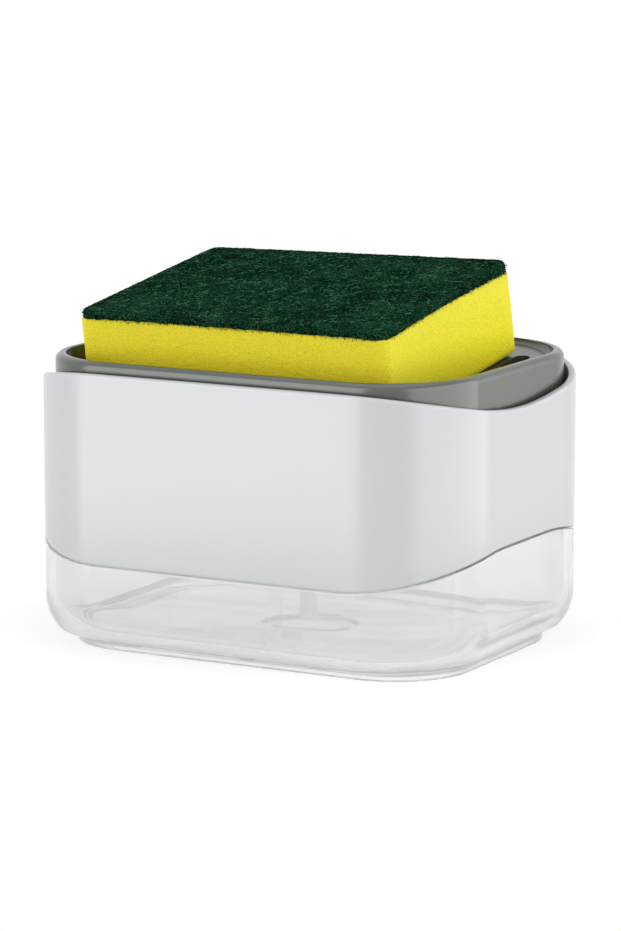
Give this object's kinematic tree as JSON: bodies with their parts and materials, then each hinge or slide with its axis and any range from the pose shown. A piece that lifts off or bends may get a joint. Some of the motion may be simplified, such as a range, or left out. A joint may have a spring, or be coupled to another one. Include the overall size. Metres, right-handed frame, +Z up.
{
  "type": "soap pump caddy",
  "caption": "Dish soap dispenser with a clear tank, a white sleeve and a sponge tray that is pressed down to pump soap up through its middle",
  "frame": {"origin": "on the table, under the middle of the tank's foot ring", "axes": "+X along the long side, +Y towards the high end of the tray's floor (the back), +Z up"},
  "size_m": [0.14, 0.1128, 0.1093],
  "materials": {
    "clear_plastic": "clear, polished",
    "white_plastic": "smooth, soft gloss",
    "grey_plastic": "smooth, soft gloss",
    "pump_plastic": "natural white",
    "piston_plastic": "soft, natural",
    "tube_plastic": "milky, extruded",
    "seal": "matt silicone",
    "steel": "bright drawn wire",
    "foam": "fine open-cell foam",
    "scouring_fibre": "coarse matted fibre"
  },
  "bodies": {
    "base": {"tank": "clear_plastic"},
    "top": {"sleeve": "white_plastic", "deck": "white_plastic", "deck_plug": "white_plastic", "tank_seal": "seal", "cylinder": "pump_plastic", "pump_gasket": "seal", "chaplet": "pump_plastic", "closure": "pump_plastic", "dip_tube": "tube_plastic", "spring": "steel"},
    "inlet_valve": {"inlet_ball": "steel"},
    "press": {"tray": "grey_plastic", "tray_wall": "grey_plastic", "nozzle_cap": "grey_plastic", "stem": "pump_plastic", "piston_seat": "pump_plastic"},
    "piston": {"piston": "piston_plastic"},
    "outlet_valve": {"outlet_ball": "steel"},
    "sponge": {"sponge": "foam", "scour_pad": "scouring_fibre"}
  },
  "joints": [
    {"name": "top_lift", "type": "slide", "parent": "base", "child": "top", "axis": [0, 0, 1], "range_m": [0, 0.06]},
    {"name": "press_down", "type": "slide", "parent": "top", "child": "press", "axis": [0, 0, -1], "range_m": [0, 0.008], "stiffness_N_per_m": 600, "springref_m": -0.0067, "deforming": ["spring"]},
    {"name": "piston_slip", "type": "slide", "parent": "press", "child": "piston", "axis": [0, 0, 1], "range_m": [0, 0.001]},
    {"name": "inlet_ball_lift", "type": "slide", "parent": "top", "child": "inlet_valve", "axis": [0, 0, 1], "range_m": [0, 0.0015]},
    {"name": "outlet_ball_lift", "type": "slide", "parent": "press", "child": "outlet_valve", "axis": [0, 0, 1], "range_m": [0, 0.0011]},
    {"name": "sponge_lift", "type": "slide", "parent": "press", "child": "sponge", "axis": [0, -0.1495, 0.9888], "range_m": [0, 0.03]}
  ]
}
